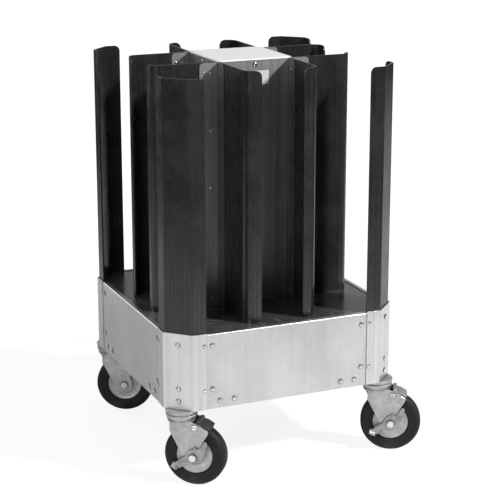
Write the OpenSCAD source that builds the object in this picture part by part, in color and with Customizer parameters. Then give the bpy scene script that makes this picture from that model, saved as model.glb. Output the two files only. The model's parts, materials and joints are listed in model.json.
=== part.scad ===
// Square stacking cart: a riveted aluminium box on four swivel casters, a black deck,
// a square centre column with eight black dividers, and four black corner posts.
// +X runs along the front, +Y to the back, +Z up. The wheels stand on z = 0.

/* [Base box] */
// Width and depth of the box over its side panels
base_w = 508; // [480:1:620]
// Height of the box
base_h = 159; // [140:1:220]
// Length of box side that each corner's flat facet takes away
facet = 46; // [36:1:46]
// Length of a corner section's flange beside the facet
flange_w = 30.5; // [26:0.5:40]
// Part of that flange that laps over a side panel
lap_w = 16.5; // [12:0.5:20]
// Depth of the shallow step that marks the lapped part
lap_step = 0.6; // [0.3:0.1:1]
// Wall of a corner section
corner_t = 2.4; // [1.6:0.1:3]
// Sheet thickness of a side panel
panel_t = 1.6; // [1:0.1:2.5]
// Distance of a side panel's top below the corner sections' top
panel_drop = 2.5; // [1:0.5:6]
// Width of the lip that a side panel turns in over the deck
lip_w = 10.5; // [8:0.5:16]
// Thickness of the deck board
deck_t = 9; // [5:1:14]
// Length of each leg of the angles that carry the deck
ledge_w = 24; // [16:1:34]
// Sheet thickness of those angles
ledge_t = 2; // [1.5:0.5:4]

/* [Corner posts] */
// Height of a post above the box
post_h = 505; // [300:5:700]
// Wall of a post
post_t = 3; // [2:0.5:4]
// Radius of a post's free upper corners
post_r = 12; // [4:1:20]

/* [Centre column] */
// Width of the column over its faces
column_w = 162; // [140:1:190]
// Height of the column's cap above the box
column_h = 510; // [320:5:720]
// Sheet thickness of the column's faces
column_t = 2; // [1.5:0.5:4]
// Length of the column's wings to left and right
side_wing_len = 40; // [34:1:50]
// Length of the column's wings to front and back
front_wing_len = 27.5; // [26:0.5:50]
// Thickness of one wall of a wing
wing_t = 1.5; // [1:0.5:3]
// Radius of a wing's outer top corner
wing_r = 7.5; // [3:0.5:14]
// Thickness of the cap plate
cap_t = 3; // [2:0.5:6]
// Overhang of the cap plate
cap_over = 1; // [0.5:0.5:3]
// Depth of the cap's skirt inside the column
cap_skirt = 18; // [14:1:30]

/* [Dividers] */
// Distance of the end of a divider's flat web from the box's side
divider_in = 56; // [50:1:70]
// Wall of a divider
web_t = 3; // [2:0.5:4]
// Outer radius of a divider's curled edge
curl_r = 23; // [14:1:27]
// Straight tip after the curl
tip_w = 10.5; // [9:0.5:16]
// Radius of the rounded corners at the tip's top and bottom
tip_r = 13; // [4:1:20]
// Distance of a divider's top below the cap's top
divider_drop = 2; // [1:0.5:20]

/* [Casters] */
// Height of a caster from the floor to the box
caster_h = 158; // [154:1:190]
// Wheel diameter
wheel_d = 127; // [110:1:130]
// Width of the tyre
tyre_w = 32; // [24:1:32]
// Radius of the tyre's shoulders
shoulder_r = 9; // [4:1:12]
// Diameter of the wheel's face disc
disc_d = 76; // [60:1:86]
// Distance of a caster's swivel axis from the box's sides
caster_in = 33.5; // [33.5:0.5:50]
// Distance of the axle behind the swivel axis
trail = 30; // [26:1:36]
// Direction of the front left caster's trail at rest, in degrees from +X
turn_fl = -38; // [-60:1:60]
// Direction of the front right caster's trail
turn_fr = -28; // [-60:1:60]
// Direction of the back left caster's trail
turn_bl = -26; // [-60:1:60]
// Direction of the back right caster's trail
turn_br = -28; // [-60:1:60]
// Diameter of the swivel race
race_d = 66; // [56:1:66]
// Radius of the axle bolt
bolt_r = 4.75; // [4:0.25:6]
// Radius of the threaded stem
stem_r = 6.35; // [5:0.05:6.5]
// Sheet thickness of the fork
fork_t = 3; // [2:0.5:4]
// Gap between the fork's legs
fork_gap = 39.2; // [38:0.1:44]

/* [Brakes] */
// Sheet thickness of the treadle and the side lever
brake_t = 2.5; // [2:0.1:3.5]
// Radius of the treadle's pivot studs
stud_r = 3; // [2:0.25:4]

/* [Hidden] */
$fn = 64;
fit = 0.05;              // gap between faces of pieces that are riveted together
run_fit = 0.05;          // radial clearance of a part that turns on another
side_gap = 0.3;          // gap between faces that pass each other
over = 1;                // how far a cut runs past what it cuts

// Places worked out from the sizes above
half = base_w / 2;
bend = half - facet;
flange_end = bend - flange_w;
lap_end = flange_end + lap_w;
box_z = caster_h;
box_top = box_z + base_h;
panel_out = half - corner_t - fit;
panel_in = panel_out - panel_t;
panel_top = box_top - panel_drop;
deck_top = panel_top - panel_t;
cap_top = box_top + column_h;
sheet_top = cap_top - cap_t;
post_out = panel_in - fit;
post_bend = half + bend - (corner_t + fit) * sqrt(2) - post_out;
col = column_w / 2;
slot_w = web_t + 2 * fit;
wing_w = slot_w + 2 * wing_t;
web_end = half - divider_in;
divider_top = cap_top - divider_drop;
fold_r = 2 * panel_t;    // outer radius of the fold along a panel's top
deck_out = panel_out - fold_r - side_gap;
k45 = tan(22.5);
right_angle = 90;
swivel = half - caster_in;
wheel_r = wheel_d / 2;
disc_r = disc_d / 2;
race_r = race_d / 2;

// Rivets: head radii and heights, and their places on the box
dome_r = 5.4;
dome_h = 2.2;
flush_r = 4;
flush_h = 0.8;
rivet_edge = 12;         // panel rivets beside a corner section
rivet_drop = 25.5;       // upper rivets, below the box's top
rivet_high = base_h - rivet_drop;
rivet_mid = 42;
rivet_low = 16;
rivet_run = [27.6, 58.6]; // two more along the bottom, from the corner section's edge
rivet_shift = 2;         // rivets of the corner sections, above or below their neighbours
lap_rivet = 5.7;         // rivets in the lapped flange, from its edge
flat_share = 0.7;        // flat top of a button head
rise_share = 0.4;        // upright edge of a button head
wing_rivet_r = 3;
wing_rivet_h = 1.4;
wing_rivet_rows = 5;
wing_rivet_edge = 20;    // first and last row, from the wing's ends
side_share = 0.42;       // place of the rivets along a side wing
front_share = 0.6;
screw_share = 0.78;      // place of the divider's screws
cap_rivet_drop = 9;

// Parts that carry the deck, the posts and the cap
ledge_gap = 8;           // a ledge's end, from the corner section
post_gap = 8;            // a post's foot, above the caster pad's flange
tongue_w = 14;           // what laps behind the column's faces
skirt_gap = 2;

// Caster pads: a folded steel gusset inside each corner of the box
pad_t = 4;
pad_flange_t = 2;
pad_past = 11;           // metal past a rivet
pad_edge = 3.5;
pad_reach = rivet_run[1] + pad_past;
pad_low_h = rivet_low + pad_past;
pad_high_h = rivet_mid + pad_past;
pad_high_w = rivet_edge - pad_edge + pad_past;
post_low = box_z + pad_high_h + post_gap;

// Caster heights, from the box down
cup_h = 8;               // fixed upper cup
cup_rim = 4;
cup_in = 1.5;
rim_in = 1;
race_h = 11;             // turning lower race
crown_h = 4;             // fork crown below the race
race_taper = 4;
cone_share = 0.7;
race_top = box_z - cup_h - side_gap;
crown_top = race_top - race_h;
crown_bottom = crown_top - crown_h;
pin_r = 8;               // kingpin through the crown
pin_head_r = 13;
pin_head_h = 3.5;
nut_flat = 3 * stem_r;   // across flats
nut_h = 11;
nut_turn = 15;
thread_up = 5;

// Fork leg outline, as shares of the wheel's radius behind the axle and of the leg's
// height above it, from the front of the crown round to the axle
leg_x = fork_gap / 2;
leg_h = crown_top - wheel_r;
leg_end_r = 18;
leg_shares = [
  [-0.76, 1], [-0.1, 1], [0.16, 0.91], [0.52, 0.745], [0.21, 0.26], [0, -0.13], [-0.27, -0.08],
  [-0.36, 0.02], [-0.775, 0.7]
];

// Wheel
hub_r = 13;
hub_play = 1.6;          // hub's end to the fork's leg
hub_w = fork_gap - 2 * hub_play;
hub_draft = 1.5;
sleeve_wall = 3.15;
sleeve_r = bolt_r + sleeve_wall;
core_w = 25;
disc_lip = 2.5;
disc_dish = 1;
disc_rim = 0.5;
hex_flat = 3 * bolt_r;   // bolt head across flats
hex_h = 6;
bolt_end = 3;

// Brake treadle: the pivot's place and the plate's outline, as shares of the wheel's radius.
// The plate starts with a flat step behind the race, drops a little and then follows the tyre
treadle_gap = 0.75;
treadle_x = race_r - trail + treadle_gap + brake_t / 2;
stud_x = 0.05 * wheel_r;
stud_z = 0.99 * wheel_r;
stud_head = 10;
stud_head_h = 1.8;
arm_t = 2.2;
arm_r = 6.5;
arm_foot_shares = [[-0.8, 0.2], [0.5, -0.7]];
arm_out = leg_x - side_gap;
treadle_shares = [
  [0, 1.17], [0.1, 1.17], [0.115, 1.075], [0.255, 1.049], [0.395, 0.965], [0.45, 0.923]
];
treadle = [for (p = treadle_shares) [treadle_x + p[0] * wheel_r, p[1] * wheel_r]];

// Side lever: turns on the axle bolt outside the near leg
lever_in = leg_x + fork_t + side_gap;
lever_out = lever_in + brake_t;
toe_h = 11;
toe_shares = [[-0.71, -0.33], [-0.52, -0.42]];
lever_shares = [
  [-0.52, -0.42], [-0.36, -0.34], [-0.16, -0.23], [0.07, -0.23], [0.27, -0.17], [0.3, -0.02],
  [0.38, 0.18], [0.47, 0.47], [0.45, 0.54], [0.37, 0.56], [0.25, 0.36], [0.18, 0.29],
  [-0.05, 0.28], [-0.13, 0.23], [-0.27, 0.01], [-0.5, -0.15], [-0.71, -0.33]
];

// Blank plate on the column's front
plate_w = 42;
plate_h = 28.5;
plate_t = 0.8;
plate_x = 9.5;
plate_drop = 36;

CORNERS = ["fl", "fr", "bl", "br"];
SIDES = [[-1, -1], [1, -1], [-1, 1], [1, 1]];

// The origin is below the centre of the whole cart's outline, turned casters included
core_r = wheel_r - shoulder_r;
core_half_w = tyre_w / 2 - shoulder_r;
skin = half + flush_h - lap_step;
turns = [turn_fl, turn_fr, turn_bl, turn_br];
wheel_x = [for (i = [0 : 3]) SIDES[i][0] * swivel + trail * cos(turns[i])];
wheel_y = [for (i = [0 : 3]) SIDES[i][1] * swivel + trail * sin(turns[i])];
right_most = max([skin, for (i = [0 : 3]) wheel_x[i] + reach(turns[i])]);
left_most = min([-skin, for (i = [0 : 3]) wheel_x[i] - reach(turns[i])]);
back_most = max([skin, for (i = [0 : 3]) wheel_y[i] + reach(right_angle - turns[i])]);
front_most = min([-skin, for (i = [0 : 3]) wheel_y[i] - reach(right_angle - turns[i])]);
centre_x = (right_most + left_most) / 2;
centre_y = (front_most + back_most) / 2;

// Helpers

// How far a tyre reaches to both sides of its middle along a line, for the wheel plane's turn
// from that line
function reach(turn) = core_r * abs(cos(turn)) + core_half_w * abs(sin(turn)) + shoulder_r;

// Direction in which the caster of one corner trails
function turn_of(side) = turns[(side[0] > 0 ? 1 : 0) + (side[1] > 0 ? 2 : 0)];

// Puts the cart's own centre over the origin of the outline
module placed() {
  translate([-centre_x, -centre_y, 0]) children();
}

// Turns a piece drawn in the back right quarter into another corner by mirroring
module at_corner(side) {
  mirror([side[0] < 0 ? 1 : 0, 0, 0])
    mirror([0, side[1] < 0 ? 1 : 0, 0])
      children();
}

// Puts a piece drawn round a swivel axis, trailing along +X, under one corner
module at_caster(side) {
  translate([side[0] * swivel, side[1] * swivel, 0])
    rotate([0, 0, turn_of(side)])
      children();
}

// Flat sheet in the XZ plane, growing towards +X and +Z, with one rounded far top corner
// and, when low_r is given, a rounded far bottom corner
module sheet_xz(len, high, thick, r, low_r = 0) {
  rotate([90, 0, 0])
    translate([0, 0, -thick])
      linear_extrude(thick)
        difference() {
          square([len, high]);
          corner_cut(len, high, r, 1);
          if (low_r > 0) corner_cut(len, 0, low_r, -1);
        }
}

// The sliver outside a rounded corner at (x, z); up is 1 for a top corner, -1 for a bottom one
module corner_cut(x, z, r, up) {
  difference() {
    translate([x - r, up > 0 ? z - r : z - over]) square([r + over, r + over]);
    translate([x - r, z - up * r]) circle(r);
  }
}

// Part of a tube wall that turns through an angle, standing on z = 0
module bend_wall(r_out, thick, high, angle) {
  rotate_extrude(angle = angle)
    translate([r_out - thick, 0]) square([thick, high]);
}

// Low domed head on the XY plane, pointing +Z
module dome(r, h) {
  ball = (r * r + h * h) / (2 * h);
  rotate_extrude()
    intersection() {
      translate([0, h - ball]) circle(ball);
      square([r + over, h + over]);
    }
}

// Low button head with a flat top on the XY plane, pointing +Z
module button(r, h) {
  rotate_extrude()
    polygon([[0, 0], [r, 0], [r, rise_share * h], [flat_share * r, h], [0, h]]);
}

// Hexagonal prism of a given width across flats
module hexagon(flat, high) {
  cylinder(h = high, r = flat / 2 / cos(30), $fn = 6);
}

// Outline of a bent strip round a corner facet, from its outer distance to its inner one
module facet_strip(outer, thick, cut, end) {
  inner = outer - thick;
  far = outer - cut;
  near = far - thick * k45;
  polygon([
    [end, outer], [far, outer], [outer, far], [outer, end],
    [inner, end], [inner, near], [near, inner], [end, inner]
  ]);
}

// Side panels

// One side panel, drawn as the front one: a flat sheet and the lip turned in at its top
module side_panel() {
  high = panel_top - box_z;
  color("gainsboro")
    translate([0, 0, box_z]) {
      translate([-lap_end + side_gap, -panel_out, 0])
        cube([2 * (lap_end - side_gap), panel_t, high - fold_r]);
      translate([-flange_end + side_gap, -panel_out + fold_r, high - fold_r])
        rotate([0, 90, 0])
          rotate([0, 0, 180])
            bend_wall(fold_r, panel_t, 2 * (flange_end - side_gap), 90);
      translate([-flange_end + side_gap, -panel_out + fold_r, high - panel_t])
        cube([2 * (flange_end - side_gap), lip_w - fold_r, panel_t]);
    }
}

module panel_front() { side_panel(); }
module panel_right() { rotate([0, 0, 90]) side_panel(); }
module panel_back() { rotate([0, 0, 180]) side_panel(); }
module panel_left() { rotate([0, 0, 270]) side_panel(); }

// Corner sections

// One extruded corner: facet, two flanges, and the shallow step over the lapped panel edge
module corner_section(side) {
  color("silver")
    at_corner(side)
      translate([0, 0, box_z])
        linear_extrude(base_h)
          difference() {
            facet_strip(half, corner_t, facet, flange_end);
            lap_cut();
            mirror([1, -1]) lap_cut();
          }
}

module lap_cut() {
  translate([flange_end - over, half - lap_step])
    square([lap_w + over, lap_step + over]);
}

// Deck and what carries it

// Outline of the deck's quarter that clears the post: full width between the posts
module deck() {
  post_in = post_out - post_t - side_gap;
  cut = post_in - post_bend + (post_t + side_gap) * k45;
  color([0.07, 0.07, 0.07])
    translate([0, 0, deck_top - deck_t])
      linear_extrude(deck_t)
        union() {
          square([2 * post_in, 2 * (post_in - cut)], center = true);
          square([2 * (post_in - cut), 2 * post_in], center = true);
          square([2 * deck_out, 2 * (flange_end - side_gap)], center = true);
          square([2 * (flange_end - side_gap), 2 * deck_out], center = true);
          for (s = SIDES)
            at_corner(s)
              polygon([[0, 0], [post_in, 0], [post_in, post_in - cut], [post_in - cut, post_in], [0, post_in]]);
        }
}

// Four aluminium angles behind the panels, under the deck
module deck_ledges() {
  long = 2 * (flange_end - ledge_gap);
  color("darkgray")
    for (turn = [0 : 90 : 270])
      rotate([0, 0, turn])
        translate([-long / 2, -panel_in + fit, deck_top - deck_t - ledge_w]) {
          cube([long, ledge_t, ledge_w]);
          translate([0, 0, ledge_w - ledge_t]) cube([long, ledge_w, ledge_t]);
        }
}

// Four folded gussets that carry the casters, one inside each corner
module caster_pads() {
  color("dimgray")
    for (s = SIDES)
      at_corner(s)
        translate([0, 0, box_z])
          caster_pad();
}

module caster_pad() {
  edge = panel_in - fit;
  facet_edge = half - corner_t - fit;
  cut = half - facet - (corner_t + fit) * k45;
  start = flange_end - pad_reach;
  difference() {
    union() {
      linear_extrude(pad_t)
        intersection() {
          polygon([[start, edge], [edge, edge], [edge, start]]);
          polygon([[0, 0], [facet_edge, 0], [facet_edge, cut], [cut, facet_edge], [0, facet_edge]]);
        }
      pad_flange(start, edge);
      mirror([1, -1, 0]) pad_flange(start, edge);
      translate([half - facet / 2, half - facet / 2, 0])
        rotate([0, 0, -45])
          translate([-facet / 2, -corner_t - fit - pad_flange_t, 0])
            cube([facet, pad_flange_t, pad_high_h]);
    }
    translate([swivel, swivel, -over]) cylinder(h = pad_t + 2 * over, r = stem_r + 2 * run_fit);
  }
}

module pad_flange(start, edge) {
  end = flange_end - pad_edge;
  translate([start, edge - pad_flange_t, 0]) cube([end - start, pad_flange_t, pad_low_h]);
  translate([end - pad_high_w, edge - pad_flange_t, 0]) cube([pad_high_w, pad_flange_t, pad_high_h]);
}

// Rivets of the box

// Domed heads along the edges of the four side panels
module panel_rivets() {
  first = flange_end - rivet_edge;
  color("lightgray")
    for (turn = [0 : 90 : 270], s = [-1, 1])
      rotate([0, 0, turn]) {
        for (z = [rivet_high, rivet_mid])
          head_at([s * first, -panel_out, box_z + z], dome_r, dome_h);
        for (run = rivet_run)
          head_at([s * (flange_end - run), -panel_out, box_z + rivet_low], dome_r, dome_h);
      }
}

// Flatter heads in the lapped flanges, and domed heads down each facet
module corner_rivets() {
  flat = half - facet / 2;
  color("lightgray") {
    for (turn = [0 : 90 : 270], s = [-1, 1], z = [rivet_high, rivet_mid - rivet_shift])
      rotate([0, 0, turn])
        translate([s * (flange_end + lap_rivet), -half + lap_step, box_z + z])
          rotate([right_angle, 0, 0])
            button(flush_r, flush_h);
    for (turn = [0 : 90 : 270], z = [rivet_high, rivet_mid, rivet_low])
      rotate([0, 0, turn])
        translate([flat, flat, box_z + z + rivet_shift])
          rotate([0, 0, 135])
            rotate([90, 0, 0])
              dome(dome_r, dome_h);
  }
}

// A head on a face that looks towards -Y
module head_at(place, r, h) {
  translate(place) rotate([90, 0, 0]) dome(r, h);
}

// Corner posts

// One post: a facet wall and two flanges with rounded free corners, standing inside its corner
module post(side) {
  high = box_top + post_h - post_low;
  far = post_bend;
  color([0.05, 0.05, 0.05])
    at_corner(side)
      translate([0, 0, post_low]) {
        linear_extrude(high) facet_strip(post_out, post_t, post_out - far, far - 2 * post_t);
        post_flange(far, high);
        mirror([1, -1, 0]) post_flange(far, high);
      }
}

module post_flange(far, high) {
  translate([far, post_out - post_t, 0])
    mirror([1, 0, 0])
      sheet_xz(far - flange_end, high, post_t, post_r);
}

// Centre column

// The four flat faces between the corner sections of the column
module column_faces() {
  wide = 2 * (col - wing_w - fit);
  color("gray")
    for (turn = [0 : 90 : 270])
      rotate([0, 0, turn])
        translate([-wide / 2, -col, deck_top])
          cube([wide, column_t, sheet_top - deck_top]);
}

// One corner section of the column: a square core, two tongues behind the faces,
// and two slotted wings that hold the dividers' webs
module wing_section(side) {
  high = sheet_top - deck_top;
  core = col - wing_w;
  behind = col - column_t - fit - wing_t;
  color("gray")
    at_corner(side)
      translate([0, 0, deck_top]) {
        translate([core, core, 0]) cube([wing_w, wing_w, high]);
        translate([core - tongue_w, behind, 0]) cube([tongue_w, wing_t, high]);
        translate([behind, core - tongue_w, 0]) cube([wing_t, tongue_w, high]);
        wing(side_wing_len, high);
        mirror([1, -1, 0]) wing(front_wing_len, high);
      }
}

// Two walls with a slot between them, along +X from the column's corner
module wing(long, high) {
  for (y = [col - wing_t, col - wing_w])
    translate([col, y, 0]) sheet_xz(long, high, wing_t, wing_r);
}

// Cap plate with a skirt that drops inside the column
module cap() {
  skirt = col - column_t - fit;
  wide = 2 * (col - wing_w - tongue_w - skirt_gap);
  color("whitesmoke") {
    translate([-col - cap_over, -col + wing_w, sheet_top])
      cube([2 * (col + cap_over), 2 * (col - wing_w), cap_t]);
    translate([-col + wing_w, -col - cap_over, sheet_top])
      cube([2 * (col - wing_w), 2 * (col + cap_over), cap_t]);
    translate([-col, -col, sheet_top]) cube([column_w, column_w, cap_t]);
    for (turn = [0 : 90 : 270])
      rotate([0, 0, turn])
        translate([-wide / 2, -skirt, sheet_top - cap_skirt])
          cube([wide, wing_t, cap_skirt]);
  }
}

// Screws that hold the cap, rivets down the wings and screws at the wings' ends
module column_rivets() {
  pitch = (sheet_top - deck_top - 2 * wing_rivet_edge) / (wing_rivet_rows - 1);
  color("white") {
    for (turn = [0 : 90 : 270])
      rotate([0, 0, turn])
        head_at([0, -col, sheet_top - cap_rivet_drop], dome_r, dome_h);
    for (s = SIDES, row = [0 : wing_rivet_rows - 1])
      at_corner(s)
        translate([0, 0, sheet_top - wing_rivet_edge - row * pitch]) {
          wing_heads(side_wing_len, side_share);
          mirror([1, -1, 0]) wing_heads(front_wing_len, front_share);
          if (row % 2 == 0) wing_heads(side_wing_len, screw_share);
        }
  }
}

// A head on each face of a wing, at a share of its length
module wing_heads(long, share) {
  translate([col + share * long, col, 0]) rotate([-90, 0, 0]) button(wing_rivet_r, wing_rivet_h);
  translate([col + share * long, col - wing_w, 0])
    rotate([90, 0, 0]) button(wing_rivet_r, wing_rivet_h);
}

// Plain unmarked plate on the column's front face
module blank_plate() {
  color("whitesmoke")
    translate([plate_x - plate_w / 2, -col - plate_t, sheet_top - plate_drop - plate_h / 2])
      cube([plate_w, plate_t, plate_h]);
}

// Dividers

// One divider, drawn as the one that runs from the column's back right corner to the right:
// a flat web held in the wing, a quarter-round curl towards the middle bay, and a short tip
module divider_along_x() {
  high = divider_top - deck_top;
  face = col - wing_t - fit;
  start = col + side_gap;
  tip_end = face - curl_r - tip_w;
  color([0.05, 0.05, 0.05])
    translate([0, 0, deck_top])
      difference() {
        union() {
          translate([start, face - web_t, 0]) cube([web_end - start, web_t, high]);
          translate([web_end, face - curl_r, 0]) bend_wall(curl_r, web_t, high, 90);
          translate([web_end + curl_r - web_t, tip_end, 0]) cube([web_t, tip_w, high]);
        }
        translate([web_end, tip_end, 0])
          rotate([90, 0, 90])
            linear_extrude(curl_r + over) {
              mirror([1, 0]) corner_cut(0, high, tip_r, 1);
              mirror([1, 0]) corner_cut(0, 0, tip_r, -1);
            }
      }
}

module divider_x(side) { at_corner(side) divider_along_x(); }
module divider_y(side) { at_corner(side) mirror([1, -1, 0]) divider_along_x(); }

// Casters

// Threaded stem with the fixed upper cup and the kingpin that the fork turns on
module stem(side) {
  color("silver")
    at_caster(side) {
      translate([0, 0, box_z - cup_h]) cylinder(h = cup_h - fit, r = race_r - cup_in);
      translate([0, 0, box_z - cup_rim]) cylinder(h = cup_rim - fit, r = race_r);
      translate([0, 0, box_z - over]) cylinder(h = pad_t + nut_h + thread_up + over, r = stem_r);
      translate([0, 0, crown_bottom - side_gap - over])
        cylinder(h = box_z - crown_bottom - cup_h + 2 * over, r = pin_r);
      translate([0, 0, crown_bottom - side_gap - pin_head_h]) cylinder(h = pin_head_h, r = pin_head_r);
    }
}

// The nuts on the four stems, on top of the pads
module stem_nuts() {
  color("silver")
    for (s = SIDES)
      at_corner(s)
        translate([swivel, swivel, box_z + pad_t])
          rotate([0, 0, nut_turn])
            difference() {
              hexagon(nut_flat, nut_h);
              translate([0, 0, -over]) cylinder(h = nut_h + 2 * over, r = stem_r + fit);
            }
}

// Fork: the turning race, a crown and two legs
module fork(side, braked) {
  color("silver")
    at_caster(side)
      difference() {
        union() {
          translate([0, 0, crown_top]) race();
          translate([0, 0, crown_bottom])
            intersection() {
              cylinder(h = crown_h, r = race_r - race_taper);
              translate([-race_r, -leg_x - fork_t, 0])
                cube([2 * race_r, 2 * (leg_x + fork_t), crown_h]);
            }
          for (y = [leg_x, -leg_x - fork_t])
            translate([trail, y, wheel_r]) leg();
        }
        translate([0, 0, crown_bottom - over])
          cylinder(h = race_h + crown_h + 2 * over, r = pin_r + run_fit);
        translate([trail, 0, wheel_r]) rotate([90, 0, 0])
          cylinder(h = 4 * leg_x, r = bolt_r + fit, center = true);
        if (braked)
          translate([trail + stud_x, 0, wheel_r + stud_z]) rotate([90, 0, 0])
            cylinder(h = 4 * leg_x, r = stud_r + fit, center = true);
      }
}

// The turning race: a cup that narrows to a cone above the crown
module race() {
  top_r = race_r - rim_in;
  rotate_extrude()
    polygon([[0, 0], [race_r - race_taper, 0], [top_r, cone_share * race_h], [top_r, race_h], [0, race_h]]);
}

// One leg of the fork, with the axle at its origin
module leg() {
  rotate([90, 0, 0])
    translate([0, 0, -fork_t])
      linear_extrude(fork_t)
        union() {
          circle(leg_end_r);
          polygon([for (p = leg_shares) [p[0] * wheel_r, p[1] * leg_h]]);
        }
}

// Axle bolt, its nut, the sleeve that the wheel turns on, and the treadle's studs where there is one
module axle(side, braked) {
  near = braked ? lever_out + side_gap : leg_x + fork_t;
  far = leg_x + fork_t;
  color("lightgray")
    at_caster(side)
      translate([trail, 0, wheel_r]) {
        rotate([90, 0, 0]) {
          translate([0, 0, -far - hex_h - bolt_end]) cylinder(h = far + near + hex_h + bolt_end, r = bolt_r);
          translate([0, 0, near]) hexagon(hex_flat, hex_h);
          difference() {
            translate([0, 0, -far - hex_h]) hexagon(hex_flat, hex_h);
            translate([0, 0, -far - hex_h - over]) cylinder(h = hex_h + 2 * over, r = bolt_r + fit);
          }
          difference() {
            cylinder(h = fork_gap, r = sleeve_r, center = true);
            cylinder(h = fork_gap + 2 * over, r = bolt_r + fit, center = true);
          }
        }
        if (braked)
          for (s = [-1, 1])
            translate([stud_x, s * (leg_x + fork_t), stud_z])
              rotate([s * -90, 0, 0])
                stud();
      }
}

// A pivot stud: a square head outside the leg and a shank that reaches the treadle's arm
module stud() {
  reach = fork_t + side_gap + arm_t;
  translate([-stud_head / 2, -stud_head / 2, 0]) cube([stud_head, stud_head, stud_head_h]);
  translate([0, 0, -reach]) cylinder(h = reach + over, r = stud_r);
}

// Wheel core: a hub, a face disc on both sides and the rim that the tyre sits on
module wheel_core(side) {
  half_w = core_w / 2;
  color("silver")
    at_caster(side)
      translate([trail, 0, wheel_r])
        rotate([90, 0, 0])
          rotate_extrude()
            polygon([
              [sleeve_r + run_fit, -hub_w / 2], [hub_r, -hub_w / 2], [hub_r + hub_draft, -half_w],
              [disc_r - disc_lip, -half_w + disc_dish], [disc_r, -half_w - disc_rim],
              [disc_r, half_w + disc_rim], [disc_r - disc_lip, half_w - disc_dish],
              [hub_r + hub_draft, half_w], [hub_r, hub_w / 2], [sleeve_r + run_fit, hub_w / 2]
            ]);
}

// Tyre: a rubber ring with round shoulders
module tyre(side) {
  flat = tyre_w / 2 - shoulder_r;
  color([0.06, 0.06, 0.06])
    at_caster(side)
      translate([trail, 0, wheel_r])
        rotate([90, 0, 0])
          rotate_extrude($fn = 96)
            union() {
              translate([disc_r, -tyre_w / 2]) square([wheel_r - shoulder_r - disc_r, tyre_w]);
              translate([wheel_r - shoulder_r, -flat]) square([shoulder_r, 2 * flat]);
              for (y = [-flat, flat]) translate([wheel_r - shoulder_r, y]) circle(shoulder_r);
            }
}

// Treadle: a folded plate over the tyre with two foot tabs, on two arms inside the legs
module treadle_piece(side) {
  color("dimgray")
    at_caster(side)
      translate([trail, 0, wheel_r])
        difference() {
          union() {
            plate_along_y(2 * arm_out) treadle_band();
            for (y = [-arm_out, arm_out - arm_t])
              translate([0, y + arm_t, 0])
                rotate([90, 0, 0])
                  linear_extrude(arm_t)
                    union() {
                      translate([stud_x, stud_z]) circle(arm_r);
                      polygon([
                        [stud_x, stud_z] + arm_foot_shares[0] * arm_r,
                        for (p = treadle) p,
                        [stud_x, stud_z] + arm_foot_shares[1] * arm_r
                      ]);
                    }
          }
          translate([stud_x, 0, stud_z]) rotate([90, 0, 0])
            cylinder(h = 4 * leg_x, r = stud_r + run_fit, center = true);
        }
}

// Extrudes an XZ outline evenly to both sides of the wheel's middle plane
module plate_along_y(wide) {
  rotate([90, 0, 0]) linear_extrude(wide, center = true) children();
}

// The treadle's plate in section: one sheet thickness to both sides of its outline
module treadle_band() {
  last = len(treadle) - 1;
  polygon([
    for (i = [0 : last]) treadle[i] + mitre(treadle, i) * brake_t / 2,
    for (i = [last : -1 : 0]) treadle[i] - mitre(treadle, i) * brake_t / 2
  ]);
}

// Left-hand normal of the step from one point to the next
function side_normal(a, b) = [a[1] - b[1], b[0] - a[0]] / norm(b - a);

// Vector from a path's point to its copy moved one length to the left
function mitre(path, i) =
  let (
    last = len(path) - 1,
    before = side_normal(path[max(i - 1, 0)], path[max(i, 1)]),
    after = side_normal(path[min(i, last - 1)], path[min(i + 1, last)])
  )
  (before + after) / (1 + before * after);

// Side lever with its toe tab, turning on the axle bolt
module side_lever(side) {
  toe = toe_shares * wheel_r;
  inward = side_normal(toe[0], toe[1]) * brake_t;
  color("silver")
    at_caster(side)
      translate([trail, -lever_in, wheel_r])
        rotate([90, 0, 0])
          difference() {
            union() {
              linear_extrude(brake_t) polygon(lever_shares * wheel_r);
              linear_extrude(toe_h) polygon([toe[0], toe[1], toe[1] + inward, toe[0] + inward]);
            }
            translate([0, 0, -over]) cylinder(h = brake_t + 2 * over, r = bolt_r + run_fit);
          }
}

placed() panel_front();
placed() panel_back();
placed() panel_left();
placed() panel_right();
for (i = [0 : 3]) {
  placed() corner_section(SIDES[i]);
  placed() wing_section(SIDES[i]);
  placed() post(SIDES[i]);
  placed() stem(SIDES[i]);
  placed() fork(SIDES[i], i < 2);
  placed() axle(SIDES[i], i < 2);
  placed() wheel_core(SIDES[i]);
  placed() tyre(SIDES[i]);
}
placed() deck();
placed() deck_ledges();
placed() caster_pads();
placed() panel_rivets();
placed() corner_rivets();
placed() column_faces();
placed() cap();
placed() column_rivets();
placed() blank_plate();
placed() divider_y(SIDES[0]);  // divider_front_left
placed() divider_y(SIDES[1]);  // divider_front_right
placed() divider_y(SIDES[2]);  // divider_back_left
placed() divider_y(SIDES[3]);  // divider_back_right
placed() divider_x(SIDES[0]);  // divider_left_front
placed() divider_x(SIDES[2]);  // divider_left_back
placed() divider_x(SIDES[1]);  // divider_right_front
placed() divider_x(SIDES[3]);  // divider_right_back
placed() stem_nuts();
placed() treadle_piece(SIDES[0]);  // treadle_fl
placed() treadle_piece(SIDES[1]);  // treadle_fr
placed() side_lever(SIDES[0]);  // side_lever_fl
placed() side_lever(SIDES[1]);  // side_lever_fr
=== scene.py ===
# %% [markdown]
# # A stacking cart, dressed in Blender
#
# The cart is a riveted aluminium box on four swivel casters. A square column stands in its
# middle, with black curled dividers on it and a black post at each corner. The construction
# is already there as a fixed frame of exact solids, so this script only makes what the eye
# wants: rounded sheet edges, rolled aluminium, scuffed black plastic, plated casters.

import json
import math

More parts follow.
